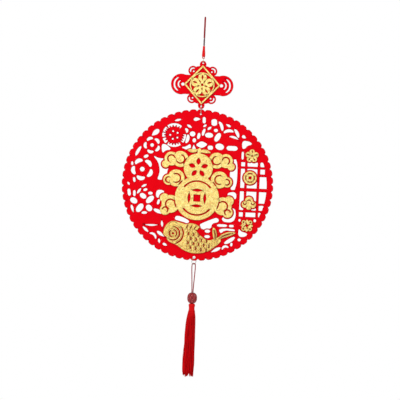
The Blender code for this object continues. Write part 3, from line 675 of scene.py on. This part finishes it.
HEAD = (
    # height, radius
    (HEAD_TOP, 4.6), (-236.4, 5.6), (-237.8, 6.2), (-240.5, 6.1), (-242.2, 5.7), (-246.5, 5.7),
    (-250, 6.1), (-254, 6.8), (-261, 7.4),
)
SKIRT = (
    # height, how far the threads spread
    (-249.0, 0.93), (-260, 1.22), (-272, 1.36), (-284, 1.46), (-296, 1.54), (-310, 1.60),
    (-334, 1.64), (-345, 1.72), (-357, 1.78), (-368, 1.72), (SKIRT_LOW, 1.62),
)
STRANDS = 520


def tassel_head(finish):
    """Threads laid over the head and bound below the bead."""
    sides, threads = 240, 48
    rings = []
    for level in range(81):
        z = HEAD_TOP + (HEAD[-1][0] - HEAD_TOP) * level / 80
        radius = between(HEAD, z)
        bound = 0.0
        if BINDING[0] < z < BINDING[1]:
            bound = 0.30 * abs(math.sin(math.pi * (z - BINDING[0]) / BINDING_PITCH)) + 0.25
        ring = []
        for k in range(sides):
            angle = 2 * math.pi * k / sides
            lay = 0.22 * abs(math.cos(threads / 2 * angle + 0.06 * z)) * (0.0 if bound else 1.0)
            reach = radius + bound + lay - 0.2
            ring.append(point(reach * math.cos(angle), reach * math.sin(angle), z))
        rings.append(ring)
    mesh = mesh_of("tassel_head", *loft(rings, caps=True))
    return add("tassel_head", mesh, finish, "red_satin", "tassel")


def tassel_skirt(finish):
    """Fine threads that hang from the head, lean a little to the left and end in loose locks."""
    random.seed(11)
    levels, sides, thickness = 22, 4, 0.42
    points, faces = [], []
    for _ in range(STRANDS):
        reach = 6.5 * math.sqrt(random.uniform(0.12, 1.0))
        turned = random.uniform(0, 2 * math.pi)
        longer = random.uniform(-4.5, 1.5) + 2.6 * math.cos(3 * turned)
        sway, phase = random.uniform(0.1, 0.5), random.uniform(0, 2 * math.pi)
        low = SKIRT_LOW + 1.0 - longer
        rings = []
        for level in range(levels):
            share = level / (levels - 1)
            z = SKIRT[0][0] + (low - SKIRT[0][0]) * share
            spread = between(SKIRT, z)
            gather = 0.16 * share ** 3 * math.sin(5 * turned + 1.0)
            angle = turned + gather + 0.02 * math.sin(5 * share + phase)
            radius = reach * spread * (1 + 0.035 * math.sin(9 * share + phase))
            drift = min(1.0, 4 * share) + 0.8 * share ** 2
            x = radius * math.cos(angle) - drift + sway * math.sin(14 * share + phase)
            y = radius * math.sin(angle) + sway * math.cos(12 * share + phase)
            thick = thickness * (0.6 if level in (0, levels - 1) else 1.0)
            rings.append([point(x + thick * math.cos(turned + a), y + thick * math.sin(turned + a), z)
                          for a in [2 * math.pi * k / sides for k in range(sides)]])
        more, more_faces = loft(rings, caps=True)
        faces += [tuple(i + len(points) for i in face) for face in more_faces]
        points += more
    return add("tassel_skirt", mesh_of("tassel_skirt", points, faces), finish, "red_satin")


# Etched lines on the carp

CARP_EYE = (-44, -98)
CARP_BODY = (
    # x, z of the body's middle line, and half its depth there
    (-63, -97, 4), (-58, -94.5, 13), (-50, -95, 20.5), (-38, -97, 23), (-22, -104, 26),
    (-5, -110, 25.5), (12, -118, 17), (27, -119.5, 11), (40, -113, 8.5), (51, -104.5, 6),
)


def body_at(x):
    for (xa, za, a), (xb, zb, b) in zip(CARP_BODY, CARP_BODY[1:]):
        if xa <= x <= xb:
            share = (x - xa) / (xb - xa)
            return za + (zb - za) * share, a + (b - a) * share
    return -100.0, 0.0


def arc(x, z, radius, start, sweep, steps=9):
    angles = [math.radians(start + sweep * i / steps) for i in range(steps + 1)]
    return [(x + radius * math.cos(a), z + radius * math.sin(a)) for a in angles]


def carp_lines():
    """The middle lines of the grooves: scales, gill, fin rays and tail rays."""
    lines = []
    for column in range(13):
        x = -17 + 5.0 * column
        middle, half = body_at(x)
        rows = int(2 * (half - 3.5) / 5.6)
        for row in range(rows + 1):
            z = middle + (row - rows / 2) * 5.6 + (2.8 if column % 2 else 0.0)
            if abs(z - middle) < half - 3.4:
                lines.append(arc(x - 1.2, z, 2.9, -72, 144))
    for i in range(16):
        x = -52 + 6.0 * i
        middle, half = body_at(x)
        foot = middle - half + 0.9
        lines.append([(x, foot), (x + 2.6, foot + 2.2), (x + 5.4, foot + 3.4)])
    for i in range(7):
        lines.append([(-19 + 5.2 * i, -80.6 - 0.6 * i), (-16.4 + 5.2 * i, -84.5 - 0.8 * i)])
    for lift in (-2.4, 0.2, 2.6):
        lines.append([(46, -104 + lift), (58, -99.0 + lift), (70, -93.2 + 0.6 * lift)])
        lines.append([(40 + 0.7 * lift, -106), (41 + 0.8 * lift, -96), (38 + 0.5 * lift, -87)])
    lines.append(arc(*CARP_EYE, 5.0, 20, 300, 20))
    lines.append(arc(*CARP_EYE, 10.4, -60, 250, 24))
    lines.append(arc(*CARP_EYE, 17.2, -70, 160, 24))
    lines.append(arc(-44, -84, 9.5, 30, 140, 12))
    lines.append([(-61, -99), (-56, -103), (-52, -104.5), (-48, -104)])
    lines.append([(-60, -92), (-57, -87), (-52, -82.5)])
    return lines


def grooves(name, node, lines, width, finish):
    """Dark pressed lines just above a piece's front face, thin at their ends."""
    low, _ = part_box(node)
    front = low.y / MM
    points, faces = [], []
    for line in lines:
        first = len(points)
        for i, (x, z) in enumerate(line):
            ax, az = line[max(i - 1, 0)]
            bx, bz = line[min(i + 1, len(line) - 1)]
            span = math.hypot(bx - ax, bz - az)
            half = width / 2 * (0.35 if i in (0, len(line) - 1) else 1.0)
            nx, nz = -(bz - az) / span * half, (bx - ax) / span * half
            y = front + waver(x, z)
            points += [point(x + nx, y - 0.03, z + nz), point(x, y - 0.10, z),
                       point(x - nx, y - 0.03, z - nz)]
        for i in range(len(line) - 1):
            for k in range(2):
                a = first + 3 * i + k
                faces.append((a, a + 1, a + 4, a + 3))
    return add(name, mesh_of(name, points, faces), finish, "gold_felt")


def groove_look():
    look = Look("groove_look")
    speck = look.noise(0.8, 2.0)
    look.set(Base_Color=look.mix(speck, (0.16, 0.03, 0.004, 1), (0.34, 0.12, 0.02, 1)),
             Normal=look.bump(speck, 0.1, 0.5), Roughness=0.6)
    return look.made


# Building it

red = red_felt()
# the last number sets how strong the painted shade at the gold cut edges is
gold = gold_felt("gold_felt_look", (0.90, 0.72, 0.28, 1), 0.75)
carp_gold = gold_felt("carp_felt_look", (0.72, 0.46, 0.11, 1), 0.80)
dark_cord = cord_look("dark_cord_look", (0.40, 0.004, 0.012, 1), (0.14, 0.0, 0.003, 1))
# painted shade: the wrap knot is coloured far darker than the hanging cord, for the shade among its
# tight turns
shaded_knot = cord_look("shaded_knot_look", (0.10, 0.003, 0.008, 1), (0.025, 0.0, 0.002, 1))
satin = thread_look("red_satin_look", (0.78, 0.008, 0.008, 1), (0.44, 0.0, 0.003, 1), 0.8, 0.5, 0.1)
skirt_threads = thread_look("skirt_thread_look", (0.74, 0.0, 0.003, 1), (0.36, 0.0, 0.001, 1), 1.1,
                            0.55, 0.06)

make_cord("hang_cord", HANG_ROUTE, HANG_CORD, dark_cord)
make_cord("tassel_cord", TASSEL_ROUTE, TASSEL_CORD, dark_cord)
wrap_knot(shaded_knot)
sleeve(satin)
metal, clear = metal_look(), clear_look()
ring_piece("gold_ring", metal, "gold_metal", turned=math.radians(90), **GOLD_RING)
ring_piece("thread_link", clear, "clear_line", turned=math.radians(90), **THREAD_LINK)
ring_piece("clear_ring", clear, "clear_line", turned=math.radians(50), **CLEAR_RING)

disc, disc_area = felt("disc_look", "disc", 1.3, red, "red_felt")
plate, plate_area = felt("knot_plate_look", "knot_plate", 1.1, red, "red_felt")
diamond, _ = felt("diamond_gold_look", "diamond_gold", 0.6, gold, "gold_felt")
laid_on = [felt("centre_gold_look", "centre_gold", 0.8, gold, "gold_felt")[0],
           felt("carp_gold_look", "carp_gold", 0.8, carp_gold, "gold_felt")[0]]
laid_on += [felt(f"ornament_{i}_look", f"ornament_{i}", 0.6, gold, "gold_felt")[0]
            for i in (1, 2, 3, 4)]
laid_on.append(grooves("carp_grooves", "carp_gold", carp_lines(), 0.9, groove_look()))


bead(bead_look())
tassel_head(satin)
tassel_skirt(skirt_threads)


# Light, floor and surroundings

def make_stage():
    mesh = bpy.data.meshes.new("floor")
    made = bmesh.new()
    bmesh.ops.create_circle(made, cap_ends=True, radius=1.2, segments=96)
    made.to_mesh(mesh)
    made.free()
    floor = bpy.data.objects.new("floor", mesh)
    floor.location = (0, 0, cad_low[2] - 0.29)
    bpy.context.scene.collection.objects.link(floor)
    look = Look("floor_look")
    look.set(Base_Color=look.mix(look.noise(300, 2.0), (0.86, 0.86, 0.85, 1), (0.90, 0.90, 0.89, 1)),
             Roughness=0.8)
    mesh.materials.append(look.made)


def area_light(name, where, aim, size, power):
    data = bpy.data.lights.new(name, "AREA")
    data.shape = "DISK"
    data.size = size
    data.energy = power
    lamp = bpy.data.objects.new(name, data)
    lamp.location = where
    lamp.rotation_mode = "QUATERNION"
    lamp.rotation_quaternion = (Vector(aim) - Vector(where)).to_track_quat("-Z", "Y")
    bpy.context.scene.collection.objects.link(lamp)


SURROUND = 0.6          # light from all round; the backdrop itself shows as white


def make_light():
    world = bpy.data.worlds.new("studio")
    world.use_nodes = True
    tree = world.node_tree
    surround = tree.nodes["Background"]
    surround.inputs["Color"].default_value = (1.0, 1.0, 1.0, 1.0)
    surround.inputs["Strength"].default_value = SURROUND
    backdrop = tree.nodes.new("ShaderNodeBackground")
    backdrop.inputs["Color"].default_value = (1.0, 1.0, 1.0, 1.0)
    seen = tree.nodes.new("ShaderNodeLightPath")
    both = tree.nodes.new("ShaderNodeMixShader")
    tree.links.new(seen.outputs["Is Camera Ray"], both.inputs[0])
    tree.links.new(surround.outputs[0], both.inputs[1])
    tree.links.new(backdrop.outputs[0], both.inputs[2])
    tree.links.new(both.outputs[0], tree.nodes["World Output"].inputs["Surface"])
    bpy.context.scene.world = world
    bpy.context.scene.view_settings.view_transform = "Standard"
    area_light("key", (-0.9, -1.5, 0.6), (0, 0, -0.35), 0.35, 26.0)
    area_light("rim_light", (1.2, -0.6, 0.3), (0, 0, -0.4), 0.6, 4.0)


make_stage()
make_light()
